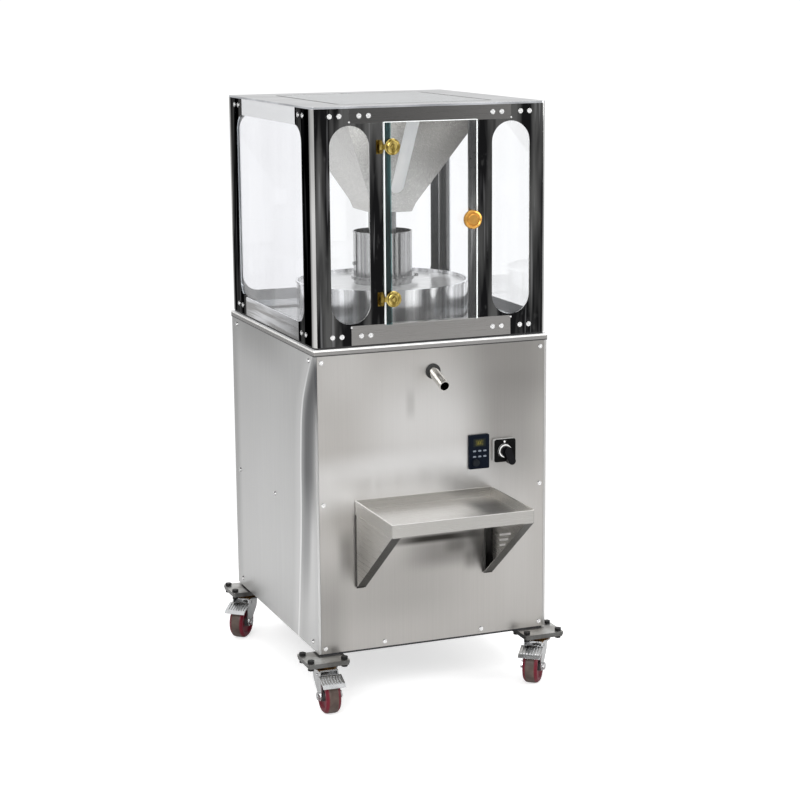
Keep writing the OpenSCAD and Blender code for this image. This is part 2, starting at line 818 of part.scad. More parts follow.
module bracket_flange() {
  z1 = zb + shelf_z;
  run = (shelf_side - shelf_lip)/(shelf_d - bk_gap);
  polygon([[yf - bk_gap, z1 - shelf_side], [yf - shelf_d + 3, z1 - shelf_lip - run*3],
    [yf - shelf_d + 3, z1 - shelf_lip - run*3 + 1.9], [yf - bk_gap, z1 - shelf_side + 1.9]]);
}

module brackets() {
  z1 = zb + shelf_z;
  color([0.72, 0.71, 0.69])
  place() {
    along_x(-shelf_l, -shelf_l + bk_t) bracket_side();
    along_x(-shelf_l, -shelf_l + 20) bracket_flange();
    box(-shelf_l, -shelf_l + 16, yf - bk_gap - bk_t, yf - bk_gap, z1 - shelf_side, z1 - shelf_lip - 3);
    difference() {
      along_x(shelf_r - bk_t, shelf_r) bracket_side();
      for (i = [0 : 2])
        along_x(shelf_r - 3, shelf_r + 1) translate([yf - 47, z1 - 97 - i*11]) rotate(-17) translate([-(58 - i*14), 0])
          square([58 - i*14, 4.5]);
    }
    along_x(shelf_r - 20, shelf_r) bracket_flange();
    box(shelf_r - 16, shelf_r, yf - bk_gap - bk_t, yf - bk_gap, z1 - shelf_side, z1 - shelf_lip - 3);
  }
}

module shelf_pads() {
  z1 = zb + shelf_z;
  color([0.04, 0.04, 0.04])
  place() {
    box(-shelf_l + 0.2, -shelf_l + 16, yf - bk_gap, yf, z1 - shelf_side + 4, z1 - shelf_lip - 4);
    box(shelf_r - 16, shelf_r - 0.2, yf - bk_gap, yf, z1 - shelf_side + 4, z1 - shelf_lip - 4);
  }
}

module keypad_body() {
  color([0.06, 0.07, 0.1])
  place() difference() {
    union() {
      along_y(yf - key_t, yf) translate([key_x, key_z]) rrect(key_w, key_h, 2.5, 16);
      box(key_x - 18.5, key_x + 18.5, yf - 1, yf + 62, key_z - 32.5, key_z + 32.5);
    }
    box(key_x - 13, key_x + 15, yf - key_t - 1, yf - key_t + 1.4, key_z + 11, key_z + 28);
    along_y(yf - key_t - 1, yf - key_t + 7) translate([knob2_x, knob2_z]) circle(r = 3.2, $fn = 20);
  }
}

module keypad_display() {
  color([0.2, 0.22, 0.1])
  place() box(key_x - 13, key_x + 15, yf - key_t + 0.3, yf - key_t + 1.4, key_z + 11, key_z + 28);
}

module keypad_keys() {
  color([0.65, 0.67, 0.7])
  place()
    for (ix = [-1 : 1])
      for (iz = [0, 1])
        along_y(yf - key_t - 0.6, yf - key_t) translate([key_x + 1 + ix*11.7, key_z + 2 - iz*12]) rrect(7, 3.6, 1.4, 13);
}

module speed_knob() {
  color([0.09, 0.1, 0.13])
  place() translate([knob2_x, yf - key_t, knob2_z]) {
    rotate([90, 0, 0]) cylinder(r = 7.5, h = 7, $fn = 24);
    translate([0, 5.5, 0]) rotate([90, 0, 0]) cylinder(r = 3.2 - run_gap, h = 6, $fn = 20);
    translate([0, -6.9, 0]) rotate([90, 0, 0]) translate([-0.8, 1, 0]) cube([1.6, 6, 0.8]);
  }
}

module switch_plate() {
  color([0.05, 0.05, 0.05])
  place() difference() {
    union() {
      along_y(yf - sw_t, yf) translate([sw_x, sw_z]) rrect(sw_w, sw_w, 5, 16);
      along_y(yf - sw_t - 2, yf - sw_t + 0.1) translate([sw_x, sw_z - 1]) circle(r = 16, $fn = 40);
      along_y(yf - sw_t - 0.6, yf - sw_t + 0.1) translate([sw_x - 1, sw_z + 19]) circle(r = 2.2, $fn = 14);
      along_y(yf - 1, yf + 48) translate([sw_x, sw_z]) circle(r = 15.5, $fn = 32);
    }
    along_y(yf - sw_t - 3, yf + 10) translate([sw_x, sw_z - 1]) circle(r = 4, $fn = 24);
  }
}

module switch_handle() {
  y0 = yf - sw_t - 2.3;
  color([0.06, 0.06, 0.06])
  place() translate([sw_x, y0, sw_z - 1]) {
    translate([0, 11, 0]) rotate([90, 0, 0]) cylinder(r = 4 - run_gap, h = 12, $fn = 24);
    rotate([0, -23, 0]) {
      rotate([90, 0, 0]) cylinder(r = 11.5, h = 9, $fn = 32);
      along_y(-18, -1) translate([0, -9.5]) stadium(16, 38);
    }
  }
}

module power_gland() {
  color([0.06, 0.06, 0.06])
  place() translate([170, py, zb + 60]) {
    difference() {
      union() {
        rotate([-90, 0, 0]) cylinder(r = 15, h = 7, $fn = 6);
        rotate([-90, 0, 0]) cylinder(r = 11.5, h = gland_out, $fn = 24);
        translate([0, -18, 0]) rotate([-90, 0, 0]) cylinder(r = 10, h = 19, $fn = 24);
      }
      translate([0, -20, 0]) rotate([-90, 0, 0]) cylinder(r = 5, h = 50, $fn = 20);
    }
  }
}

// ---- casters ----
module caster_at(sx, sy) {
  translate([sx > 0 ? cx_r : -cx_l, sy > 0 ? cy_r : -cy_f, 0]) children();
}

module each_caster() {
  for (sx = [-1, 1])
    for (sy = [-1, 1]) caster_at(sx, sy) children();
}

module caster_plate() {
  difference() {
    union() {
      translate([0, 0, pad_top - pad_t]) linear_extrude(pad_t) rrect(pad_w, pad_d, 5, 16);
      translate([0, 0, race_top]) linear_extrude(cas_t + 0.1) rrect(pad_w - 2, pad_d - 2, 5, 16);
      translate([0, 0, crown_top + 0.3]) cylinder(r1 = 25, r2 = 30, h = race_h, $fn = 32);
      translate([0, 0, crown_top - crown_t - 6]) cylinder(r = king_r, h = 20, $fn = 24);
      translate([0, 0, crown_top - crown_t - 7.2]) cylinder(r = 10.5, h = 6.8, $fn = 6);
    }
    for (x = [-bolt_x, bolt_x])
      for (y = [-bolt_y, bolt_y])
        translate([x, y, race_top - 1]) cylinder(r = 4, h = 14, $fn = 14);
  }
}

module caster_plates() {
  color([0.78, 0.78, 0.77])
  place() each_caster() caster_plate();
}

module caster_bolt(z) {
  translate([0, 0, race_top - 6.5]) cylinder(r = 4, h = z - race_top + 6.5, $fn = 14);
  translate([0, 0, z]) cylinder(r = 7.5, h = 5.5, $fn = 6);
  translate([0, 0, race_top - 6]) cylinder(r = 7, h = 6, $fn = 6);
}

module caster_bolts() {
  color([0.05, 0.05, 0.05])
  place()
    for (sx = [-1, 1])
      for (sy = [-1, 1])
        caster_at(sx, sy)
          for (ix = [-1, 1])
            for (iy = [-1, 1])
              translate([ix*bolt_x, iy*bolt_y, 0]) caster_bolt(ix == -sx && (iy == -sy || sy > 0) ? zb : pad_top);
}

module fork() {
  lz = crown_top - crown_t;
  difference() {
    union() {
      translate([0, 0, lz]) cylinder(r = 29, h = crown_t, $fn = 40);
      box(-fork_in - fork_t, fork_in + fork_t, -30, 12, lz, crown_top);
      for (s = [0, 1])
        mirror([s, 0, 0])
          along_x(fork_in, fork_in + fork_t) {
            polygon([[14, crown_top], [-trail, crown_top], [-trail - 11, wheel_r + 14], [-trail - 9, wheel_r],
              [-trail + 9, wheel_r - 3], [6, wheel_r + 26]]);
            translate([-trail, wheel_r]) circle(r = 10, $fn = 32);
          }
    }
    translate([0, 0, lz - 1]) cylinder(r = king_r + run_gap, h = crown_t + 2, $fn = 32);
    for (s = [0, 1])
      mirror([s, 0, 0]) along_x(fork_in - 1, fork_in + fork_t + 1) translate([ped_y, ped_z]) circle(r = 3 + run_gap, $fn = 20);
  }
  along_x(-fork_in - fork_t - 7, fork_in + fork_t + 7) translate([-trail, wheel_r]) circle(r = axle_r, $fn = 24);
  for (s = [0, 1])
    mirror([s, 0, 0]) along_x(fork_in + fork_t, fork_in + fork_t + 6) translate([-trail, wheel_r]) circle(r = 8, $fn = 6);
}

module wheel2d() {
  w = wheel_w/2;
  polygon([[axle_r + run_gap, -w - 1], [11, -w - 1], [11, -w + 4], [wheel_r - 13, -w + 4], [wheel_r - 10, -w],
    [wheel_r - 5, -w], [wheel_r - 1, -w + 4], [wheel_r, -w + 8], [wheel_r, w - 8], [wheel_r - 1, w - 4],
    [wheel_r - 5, w], [wheel_r - 10, w], [wheel_r - 13, w - 4], [11, w - 4], [11, w + 1],
    [axle_r + run_gap, w + 1]]);
}

module wheel() {
  translate([0, -trail, wheel_r]) rotate([0, 90, 0]) rotate_extrude($fn = 32) wheel2d();
}

module pedal() {
  hw = ped_w/2;
  in = fork_in - 1.2;
  translate([0, ped_y, ped_z]) rotate([0, 90, 0])
    translate([0, 0, -fork_in - fork_t - 1.5]) cylinder(r = 3, h = 2*(fork_in + fork_t + 1.5), $fn = 20);
  along_x(-in, in)
    polygon([[ped_y - 3, ped_z + 3.5], [-46, ped_z + 3], [-46, ped_z - 0.2], [ped_y - 2, ped_z - 1.8]]);
  along_x(-hw, hw)
    polygon([[-45, ped_z + 4], [-ped_len + 6, ped_z - 7], [-ped_len, ped_z - 14],
      [-ped_len + 2.5, ped_z - 15], [-ped_len + 7.5, ped_z - 9.8], [-45, ped_z + 0.6]]);
  for (i = [-3 : 3])
    along_x(i*6 - 1.4, i*6 + 1.4)
      polygon([[-50, ped_z + 2.2], [-ped_len + 6.2, ped_z - 7.2], [-ped_len + 7, ped_z - 4.8], [-50, ped_z + 4.2]]);
}

module fork_at(sx, sy, a) {
  color([0.75, 0.76, 0.77]) place() caster_at(sx, sy) rotate([0, 0, -a]) fork();
}

module wheel_at(sx, sy, a) {
  color([0.35, 0.08, 0.1]) place() caster_at(sx, sy) rotate([0, 0, -a]) wheel();
}

module pedal_at(sx, sy, a) {
  color([0.85, 0.85, 0.85]) place() caster_at(sx, sy) rotate([0, 0, -a]) pedal();
}

module fork_fl() { fork_at(-1, -1, a_fl); }
module fork_fr() { fork_at(1, -1, a_fr); }
module fork_rl() { fork_at(-1, 1, a_rl); }
module fork_rr() { fork_at(1, 1, a_rr); }
module wheel_fl() { wheel_at(-1, -1, a_fl); }
module wheel_fr() { wheel_at(1, -1, a_fr); }
module wheel_rl() { wheel_at(-1, 1, a_rl); }
module wheel_rr() { wheel_at(1, 1, a_rr); }
module pedal_fl() { pedal_at(-1, -1, a_fl); }
module pedal_fr() { pedal_at(1, -1, a_fr); }
module pedal_rl() { pedal_at(-1, 1, a_rl); }
module pedal_rr() { pedal_at(1, 1, a_rr); }

base_frame();
panel_front();
panel_left();
panel_right();
panel_back();
top_deck();
screws();
gasket();
posts_front();
posts_back();
rails_front();
rails_closed();
glass_front();
glass_closed();
top_frame();
lid_glass();
door_glass();
hinge_bases();
hinge_clamps();
door_knob();
hopper();
hopper_window();
feed_tube();
tube_clamp();
drum();
drum_lid();
upper_stone();
runner_stone();
spindle();
bearing_housing();
driven_pulley();
belt();
drive_pulley();
motor();
spout();
grommet();
shelf();
brackets();
shelf_pads();
keypad_body();
keypad_display();
keypad_keys();
speed_knob();
switch_plate();
switch_handle();
power_gland();
caster_plates();
caster_bolts();
fork_fl();
fork_fr();
fork_rl();
fork_rr();
wheel_fl();
wheel_fr();
wheel_rl();
wheel_rr();
pedal_fl();
pedal_fr();
pedal_rl();
pedal_rr();
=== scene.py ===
import json
import math

import bpy
from mathutils import Matrix, Vector


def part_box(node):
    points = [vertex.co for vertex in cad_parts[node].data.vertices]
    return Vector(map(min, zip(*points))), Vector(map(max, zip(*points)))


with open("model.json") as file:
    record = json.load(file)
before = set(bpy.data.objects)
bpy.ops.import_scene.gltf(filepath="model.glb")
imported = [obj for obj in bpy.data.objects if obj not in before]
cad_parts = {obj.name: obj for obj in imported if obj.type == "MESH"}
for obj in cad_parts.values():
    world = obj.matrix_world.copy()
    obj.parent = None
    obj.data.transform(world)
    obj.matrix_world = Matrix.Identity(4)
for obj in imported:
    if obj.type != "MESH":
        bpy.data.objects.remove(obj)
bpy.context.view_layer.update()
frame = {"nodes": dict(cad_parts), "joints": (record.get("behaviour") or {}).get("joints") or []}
NODES = frame["nodes"]

# the cabinet's middle in the row frame: the CAD is drawn about it and then moved to centre the whole box
DECK_LO, DECK_HI = (Vector(c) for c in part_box("top_deck"))
MID = Vector(((DECK_LO.x + DECK_HI.x) / 2, (DECK_LO.y + DECK_HI.y) / 2, 0))

# ---------- camera of the photograph ----------
CAM_POS = Vector((-1.5211, -4.0169, 1.4527)) + MID
CAM_YAW, CAM_PITCH, CAM_ROLL = math.radians(21.218), math.radians(11.536), math.radians(-0.478)
CAM_LENS, SENSOR = 89.48, 36.0


def make_camera():
    fwd = Vector((math.sin(CAM_YAW) * math.cos(CAM_PITCH), math.cos(CAM_YAW) * math.cos(CAM_PITCH),
                  -math.sin(CAM_PITCH)))
    right = Vector((math.cos(CAM_YAW), -math.sin(CAM_YAW), 0))
    up = right.cross(fwd)
    r2 = math.cos(CAM_ROLL) * right + math.sin(CAM_ROLL) * up
    u2 = -math.sin(CAM_ROLL) * right + math.cos(CAM_ROLL) * up
    data = bpy.data.cameras.new("camera")
    data.lens, data.sensor_width = CAM_LENS, SENSOR
    data.clip_end = 60
    cam = bpy.data.objects.new("camera", data)
    bpy.context.scene.collection.objects.link(cam)
    m = Matrix((r2, u2, -fwd)).transposed().to_4x4()
    m.translation = CAM_POS
    cam.matrix_world = m
    bpy.context.scene.camera = cam


# ---------- node helpers ----------
BEVEL = 0.0004  # radius that the look gives to an edge, in metres


class Mat:
    """One material and short ways to add nodes to it."""

    def __init__(self, name):
        self.m = bpy.data.materials.new(name)
        self.m.use_nodes = True
        self.t = self.m.node_tree
        self.t.nodes.clear()
        self.out = self.t.nodes.new("ShaderNodeOutputMaterial")

    def n(self, kind, **kw):
        node = self.t.nodes.new("ShaderNode" + kind)
        for k, v in kw.items():
            setattr(node, k, v)
        return node

    def link(self, a, b):
        self.t.links.new(a, b)

    def put(self, socket, value):
        if isinstance(value, bpy.types.NodeSocket):
            self.link(value, socket)
        else:
            socket.default_value = value

    def coords(self, scale=(1, 1, 1), loc=(0, 0, 0)):
        """The point in the row frame, scaled and then shifted."""
        tc = self.n("TexCoord")
        mp = self.n("Mapping")
        mp.inputs["Scale"].default_value = scale
        mp.inputs["Location"].default_value = loc
        self.link(tc.outputs["Object"], mp.inputs["Vector"])
        return mp.outputs["Vector"]

    def noise_at(self, vector, detail, rough=0.5, size=1.0):
        nz = self.n("TexNoise")
        nz.inputs["Scale"].default_value = size
        nz.inputs["Detail"].default_value = detail
        nz.inputs["Roughness"].default_value = rough
        self.link(vector, nz.inputs["Vector"])
        return nz.outputs["Fac"]

    def noise(self, scale, detail, rough, loc=(0, 0, 0)):
        """Noise in the row frame, scale times as fine as metres along each axis."""
        return self.noise_at(self.coords(scale, loc), detail, rough)

    def span(self, fac, a, b, lo=0.0, hi=1.0):
        """Maps fac from lo..hi to a..b."""
        r = self.n("MapRange")
        self.put(r.inputs["Value"], fac)
        r.inputs["From Min"].default_value = lo
        r.inputs["From Max"].default_value = hi
        r.inputs["To Min"].default_value = a
        r.inputs["To Max"].default_value = b
        return r.outputs["Result"]

    def math(self, op, a, b=0.0):
        r = self.n("Math", operation=op)
        self.put(r.inputs[0], a)
        self.put(r.inputs[1], b)
        return r.outputs[0]

    def plus(self, a, b):
        return self.math("ADD", a, b)

    def minus(self, a, b):
        return self.math("SUBTRACT", a, b)

    def times(self, a, b):
        return self.math("MULTIPLY", a, b)

    def over(self, a, b):
        """1 where a is above b, else 0."""
        return self.math("GREATER_THAN", a, b)

    def under(self, a, b):
        """1 where a is below b, else 0."""
        return self.math("LESS_THAN", a, b)

    def most(self, a, b):
        return self.math("MAXIMUM", a, b)

    def least(self, a, b):
        return self.math("MINIMUM", a, b)

    def length(self, a, b):
        return self.math("SQRT", self.plus(self.times(a, a), self.times(b, b)))

    def mix(self, fac, a, b):
        r = self.n("MixRGB")
        self.put(r.inputs["Fac"], fac)
        self.put(r.inputs["Color1"], a if isinstance(a, bpy.types.NodeSocket) else (*a, 1))
        self.put(r.inputs["Color2"], b if isinstance(b, bpy.types.NodeSocket) else (*b, 1))
        return r.outputs["Color"]

    def bump(self, height, strength, dist, bevel=BEVEL):
        """Bumps over a normal that is rounded at the edges by bevel."""
        b = self.n("Bump")
        b.inputs["Strength"].default_value = strength
        b.inputs["Distance"].default_value = dist
        self.put(b.inputs["Height"], height)
        v = self.n("Bevel", samples=4)
        v.inputs["Radius"].default_value = bevel
        self.link(v.outputs["Normal"], b.inputs["Normal"])
        return b.outputs["Normal"]

    def place(self):
        """x, y, z of the point from the cabinet's middle on the floor, in metres."""
        sep = self.n("SeparateXYZ")
        self.link(self.coords(loc=(-MID.x, -MID.y, 0)), sep.inputs[0])
        return sep.outputs["X"], sep.outputs["Y"], sep.outputs["Z"]

    def normal(self, name):
        """One part of the normal in the node's own frame, so it stays with a lid or door that moves."""
        sep = self.n("SeparateXYZ")
        self.link(self.n("TexCoord").outputs["Normal"], sep.inputs[0])
        return sep.outputs[name]

    def facing(self, name, limit):
        """1 where that part of the normal is past limit, on limit's side of 0."""
        return self.math("GREATER_THAN" if limit > 0 else "LESS_THAN", self.normal(name), limit)

    def near(self, value, at, half, soft):
        """1 where value is within half of at, falling to 0 over soft."""
        d = self.math("ABSOLUTE", self.minus(value, at))
        r = self.n("MapRange", interpolation_type="SMOOTHSTEP")
        self.put(r.inputs["Value"], d)
        r.inputs["From Min"].default_value = half
        r.inputs["From Max"].default_value = half + soft
        r.inputs["To Min"].default_value = 1.0
        r.inputs["To Max"].default_value = 0.0
        return r.outputs["Result"]

    def blend(self, fac, a, b):
        """Shader b over shader a, by fac."""
        r = self.n("MixShader")
        self.link(fac, r.inputs[0])
        self.link(a.outputs[0], r.inputs[1])
        self.link(b.outputs[0], r.inputs[2])
        return r

    def surface(self, color, metallic, rough, normal=None, **extra):
        p = self.n("BsdfPrincipled")
        self.put(p.inputs["Base Color"], color if isinstance(color, bpy.types.NodeSocket) else (*color, 1))
        self.put(p.inputs["Metallic"], metallic)
        self.put(p.inputs["Roughness"], rough)
        if normal is not None:
            self.link(normal, p.inputs["Normal"])
        for k, v in extra.items():
            self.put(p.inputs[k.replace("_", " ")], v)
        self.link(p.outputs["BSDF"], self.out.inputs["Surface"])
        return p


def shade(c, k):
    return tuple(min(1.0, x * k) for x in c)


PAINTED_LIGHT_CORE = 0.2  # part of a place's half width that has its full strength
# colours of the painted highlights and of the painted shade
PAINTED_HIGHLIGHT, PAINTED_SHADE = (1, 1, 1), (0.02, 0.018, 0.015)


def brushed(name, color, rough=0.3, grain=(900, 900, 5), wave=0.10, seed=0.0, painted_light=None, extra=None, metal=1.0):
    """Brushed sheet: fine grain drawn out along one direction and broad, soft clouds. Painted light and shade can be
    given as the axis across the sheet and a list of soft places: middle and half width across, middle and half
    height, and strength, above 0 a painted highlight and below 0 painted shade. extra changes the colour further."""
    m = Mat(name)
    fine = m.noise(grain, 4.0, 0.6, loc=(seed, 0, 0))
    broad = m.noise((1.6, 1.6, 0.9), 2.0, 0.5, loc=(seed, seed, 0))
    c = m.mix(m.span(broad, 0, 1, 0.3, 0.7), shade(color, 1 - wave), shade(color, 1 + wave))
    c = m.mix(m.span(fine, 0, 0.10, 0.25, 0.75), c, shade(color, 0.45))
    if painted_light:
        axis, places = painted_light
        place = dict(zip("XYZ", m.place()))
        for mid, half, high, half_high, strength in places:
            wide = m.near(place[axis], mid, half * PAINTED_LIGHT_CORE, half)
            tall = m.near(place["Z"], high, half_high * PAINTED_LIGHT_CORE, half_high)
            c = m.mix(m.times(m.times(wide, tall), abs(strength)), c, PAINTED_HIGHLIGHT if strength > 0 else PAINTED_SHADE)
    if extra:
        c = extra(m, c)
    r = m.span(fine, rough - 0.06, rough + 0.07, 0.3, 0.7)
    m.surface(c, metal, r, m.bump(fine, 0.06, 0.0004))
    return m.m


def smooth_metal(name, color, rough, wear=0.06):
    """Smooth metal with small, slightly duller spots."""
    m = Mat(name)
    spots = m.noise((60, 60, 60), 5.0, 0.6)
    c = m.mix(m.span(spots, 0, 1, 0.35, 0.7), color, shade(color, 1 - wear * 3))
    m.surface(c, 1.0, m.span(spots, rough, rough + wear, 0.35, 0.7), m.bump(spots, 0.02, 0.0003))
    return m.m


def polished_post(name):
    """Mirror-polished plate drawn with painted reflections: near black outside with drawn-out grey streaks, a painted
    dark band on the sides and a painted highlight at the bends, and a pale painted reflection on the faces that look
    inward."""
    m = Mat(name)
    x, y, _ = m.place()
    front = m.minus(y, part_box("posts_front")[0][1] - MID.y)
    back = m.minus(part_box("posts_back")[1][1] - MID.y, y)
    tall = m.noise((26, 26, 2.4), 3.0, 0.5, loc=(3, 1, 0.4))
    thin = m.noise((110, 110, 3.5), 2.0, 0.5, loc=(0, 2, 1))
    small = m.noise((60, 60, 30), 3.0, 0.6)
    c = m.mix(m.span(tall, 0, 1, 0.46, 0.60), (0.014, 0.014, 0.015), (0.15, 0.15, 0.148))
    c = m.mix(m.span(thin, 0, 0.5, 0.60, 0.68), c, (0.40, 0.40, 0.41))
    c = m.mix(m.span(small, 0, 0.35, 0.62, 0.72), c, (0.12, 0.12, 0.12))
    on_side = m.over(m.math("ABSOLUTE", m.normal("X")), 0.3)
    painted_dark_side = m.times(on_side, m.near(front, 0.040, 0.018, 0.008))
    c = m.mix(m.times(painted_dark_side, 0.8), c, (0.012, 0.012, 0.013))
    inner = m.most(m.under(m.times(x, m.normal("X")), -0.1),
                   m.under(m.times(y, m.normal("Y")), -0.1))
    painted_inward_sheen = m.mix(m.span(tall, 0, 1, 0.4, 0.6), (0.45, 0.48, 0.52), (0.96, 0.98, 1.0))
    c = m.mix(m.times(inner, 0.85), c, painted_inward_sheen)
    for edge in (front, back):
        painted_bend_band = m.times(m.near(edge, 0.007, 0.006, 0.004), on_side)
        c = m.mix(m.times(painted_bend_band, m.span(tall, 0.6, 1, 0.4, 0.55)), c, (0.98, 0.975, 0.96))
    m.surface(c, m.minus(1.0, m.times(inner, 0.45)), m.span(small, 0.04, 0.09),
              m.bump(small, 0.02, 0.0003, 0.0005), Specular_Tint=(0.37, 0.37, 0.37, 1))
    return m.m


def painted_bend_light(m, c):
    """Painted highlight and shade where the left sheet bows beside the front corner: a bright curved line with a dark
    band between it and the edge.
    """
    _, y, z = m.place()
    bend = m.n("FloatCurve")
    m.put(bend.inputs["Value"], m.span(z, 0, 1, 0.10, 0.74))
    # along the line's height from 0 to 1: how far in front of the cabinet's middle it runs, in metres. The curve
    # holds twice that, to use its range of 0 to 1
    pts = ((0.0, 0.155), (0.29, 0.180), (0.43, 0.189), (0.67, 0.195), (0.82, 0.209), (0.90, 0.234), (1.0, 0.278))
    line = bend.mapping.curves[0]
    while len(line.points) < len(pts):
        line.points.new(0.5, 0.2)
    for q, (u, v) in zip(line.points, pts):
        q.location = (u, v * 2)
    bend.mapping.update()
    past = m.minus(m.times(y, -1.0), m.times(bend.outputs[0], 0.5))
    dark = m.times(m.over(past, 0.0), m.near(past, 0.012, 0.032, 0.030))
    dark = m.times(dark, m.near(z, 0.50, 0.14, 0.22))
    deep = m.times(m.near(past, 0.050, 0.014, 0.045), m.near(z, 0.60, 0.10, 0.16))
    c = m.mix(m.times(dark, 0.55), c, (0.10, 0.105, 0.115))
    c = m.mix(m.times(deep, 0.75), c, (0.03, 0.032, 0.038))
    glow = m.near(past, -0.012, 0.002, 0.040)
    c = m.mix(m.times(glow, 0.25), c, (1, 1, 1))
    spark = m.times(m.near(past, -0.003, 0.0022, 0.004), m.span(z, 0.35, 1.0, 0.74, 0.60))
    return m.mix(m.times(spark, 0.95), c, (1, 1, 1))


RINGS = 900  # how fine the turned rings are drawn, as a scale of their noise


def turned(name, color, rough, streak=0.62, metal=1.0, top=None):
    """Metal turned on a lathe about the mill's axis: fine rings and streaks along the axis."""
    m = Mat(name)
    x, y, z = m.place()
    x, y = m.minus(x, MILL[0] - MID.x), m.minus(y, MILL[1] - MID.y)
    rings = m.n("CombineXYZ")
    m.link(m.times(m.length(x, y), RINGS), rings.inputs[0])
    m.link(m.times(z, RINGS), rings.inputs[1])
    fine = m.noise_at(rings.outputs[0], 2.0)
    around = m.n("CombineXYZ")
    m.link(m.times(m.math("ARCTAN2", y, x), 4.5), around.inputs[0])
    streaks = m.noise_at(around.outputs[0], 3.0, size=1.6)
    c = m.mix(m.span(streaks, 0, 1, 0.40, 0.60), shade(color, streak), shade(color, 1.12))
    # painted light: the faces that look up take the lighter top colour
    if top:
        c = m.mix(m.facing("Z", 0.7), c, top)
    c = m.mix(m.span(fine, 0, 0.12, 0.3, 0.7), c, shade(color, 0.5))
    m.surface(c, metal, m.span(fine, rough - 0.05, rough + 0.08, 0.3, 0.7), m.bump(fine, 0.05, 0.0003))
    return m.m


def paint(name, color, rough, speck=0.15, metallic=0.0, spec=0.3):
    """Painted or moulded surface with fine specks."""
    m = Mat(name)
    f = m.noise((300, 300, 300), 4.0, 0.6)
    c = m.mix(m.span(f, 0, 1, 0.3, 0.75), color, shade(color, 1 + speck * 2))
    m.surface(c, metallic, m.span(f, rough - 0.05, rough + 0.1, 0.3, 0.7), m.bump(f, 0.12, 0.0003),
              Specular_IOR_Level=spec)
    return m.m


def switch_plastic():
    """Black plate with a white dial disc, a white dot above it, and painted light on its top and left sides."""
    m = Mat("switch_plastic")
    x, _, z = m.place()
    f = m.noise((300, 300, 300), 4.0, 0.6)
    white = 0.0
    for (cx, cz), r in ((DIAL, DISC_R), (DOT, DOT_R)):
        away = m.length(m.minus(x, cx), m.minus(z, cz))
        white = m.most(white, m.under(away, r))
    out = m.times(white, m.facing("Y", -0.5))
    c = m.mix(m.span(f, 0, 1, 0.3, 0.7), (0.002, 0.002, 0.002), (0.006, 0.006, 0.006))
    # painted light on the top and left sides
    side = m.most(m.facing("Z", 0.6), m.facing("X", -0.6))
    c = m.mix(m.times(side, 0.6), c, (0.75, 0.75, 0.74))
    m.surface(m.mix(out, c, (0.85, 0.85, 0.84)), 0.0, m.span(f, 0.35, 0.5), m.bump(f, 0.1, 0.0003),
              Specular_IOR_Level=0.05)
    return m.m


def display():
    """Dark window with a dim yellow-green glow of lit digits, too blurred in the photograph to be read."""
    m = Mat("display_window")
    lo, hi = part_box("keypad_display")
    x, _, z = m.place()
    f = m.noise((500, 500, 160), 3.0, 0.6)
    glow = m.times(m.near(x, (lo[0] + hi[0]) / 2 - MID.x, 0.003, 0.009),
                   m.near(z, (lo[2] + hi[2]) / 2, 0.002, 0.006))
    c = m.mix(m.times(glow, m.span(f, 0.2, 1, 0.4, 0.6)), (0.008, 0.011, 0.010), (0.13, 0.11, 0.02))
    m.surface(c, 0.0, 0.2, m.bump(f, 0.02, 0.0002, 0.0003), Specular_IOR_Level=0.15)
    return m.m


def cast(name, color, rough=0.6):
    m = Mat(name)
    f = m.noise((500, 500, 500), 5.0, 0.65)
    g = m.noise((40, 40, 40), 3.0, 0.5)
    c = m.mix(m.span(g, 0, 1, 0.3, 0.7), shade(color, 0.8), shade(color, 1.2))
    m.surface(c, 0.8, m.span(f, rough - 0.1, rough + 0.1), m.bump(f, 0.35, 0.0006, 0.0005))
    return m.m


def door_edges(m, c):
    """Teal shade along the door's hinged edge, and the ground edges as thin bright lines."""
    lo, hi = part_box("door_glass")
    x, _, z = m.place()
    left = m.minus(x, lo[0] - MID.x)
    right = m.minus(hi[0] - MID.x, x)
    up = m.minus(hi[2], z)
    c = m.mix(m.times(m.near(left, 0.006, 0.009, 0.001), 0.85), c, (0.10, 0.36, 0.37))
    lines = m.most(m.near(left, 0.0008, 0.0008, 0.0003), m.near(right, 0.0006, 0.0006, 0.0003))
    return c, m.times(m.most(lines, m.near(up, 0.0006, 0.0006, 0.0003)), 0.8)


def glass(name, tint=(0.985, 0.992, 0.99), edge=(0.10, 0.32, 0.30), faces="Y", strip=False, shade_mask=None,
          smear_grain=(9, 9, 9), streaks=0.985):
    """Clear sheet glass with a deep green-blue edge, told from the face by the normal's direction. strip adds the
    door's edges, and shade_mask gives a mask of dark places."""
    m = Mat(name)
    face = 0.0
    for axis in faces:
        face = m.most(face, m.over(m.math("ABSOLUTE", m.normal(axis)), 0.6))
    smear = m.noise(smear_grain, 3.0, 0.6)
    c = m.mix(face, edge, m.mix(m.span(smear, 0, 1, 0.35, 0.65), tint, shade(tint, streaks)))
    gleam = None
    if strip:
        c, gleam = door_edges(m, c)
    p = m.surface(c, 0.0, m.span(smear, 0.0, 0.012, 0.45, 0.75), Transmission_Weight=1.0, IOR=1.45)
    clear = m.n("BsdfTransparent")
    clear.inputs["Color"].default_value = (0.95, 0.95, 0.95, 1)
    last = m.blend(m.n("LightPath").outputs["Is Shadow Ray"], p, clear)
    if shade_mask:
        black = m.n("BsdfPrincipled")
        black.inputs["Base Color"].default_value = (0.01, 0.01, 0.012, 1)
        black.inputs["Roughness"].default_value = 0.1
        black.inputs["Specular IOR Level"].default_value = 0.0
        last = m.blend(shade_mask(m), last, black)
    if gleam is not None:
        white = m.n("BsdfDiffuse")
        white.inputs["Color"].default_value = (0.95, 0.97, 0.97, 1)
        last = m.blend(gleam, last, white)
    m.link(last.outputs[0], m.out.inputs["Surface"])
    return m.m


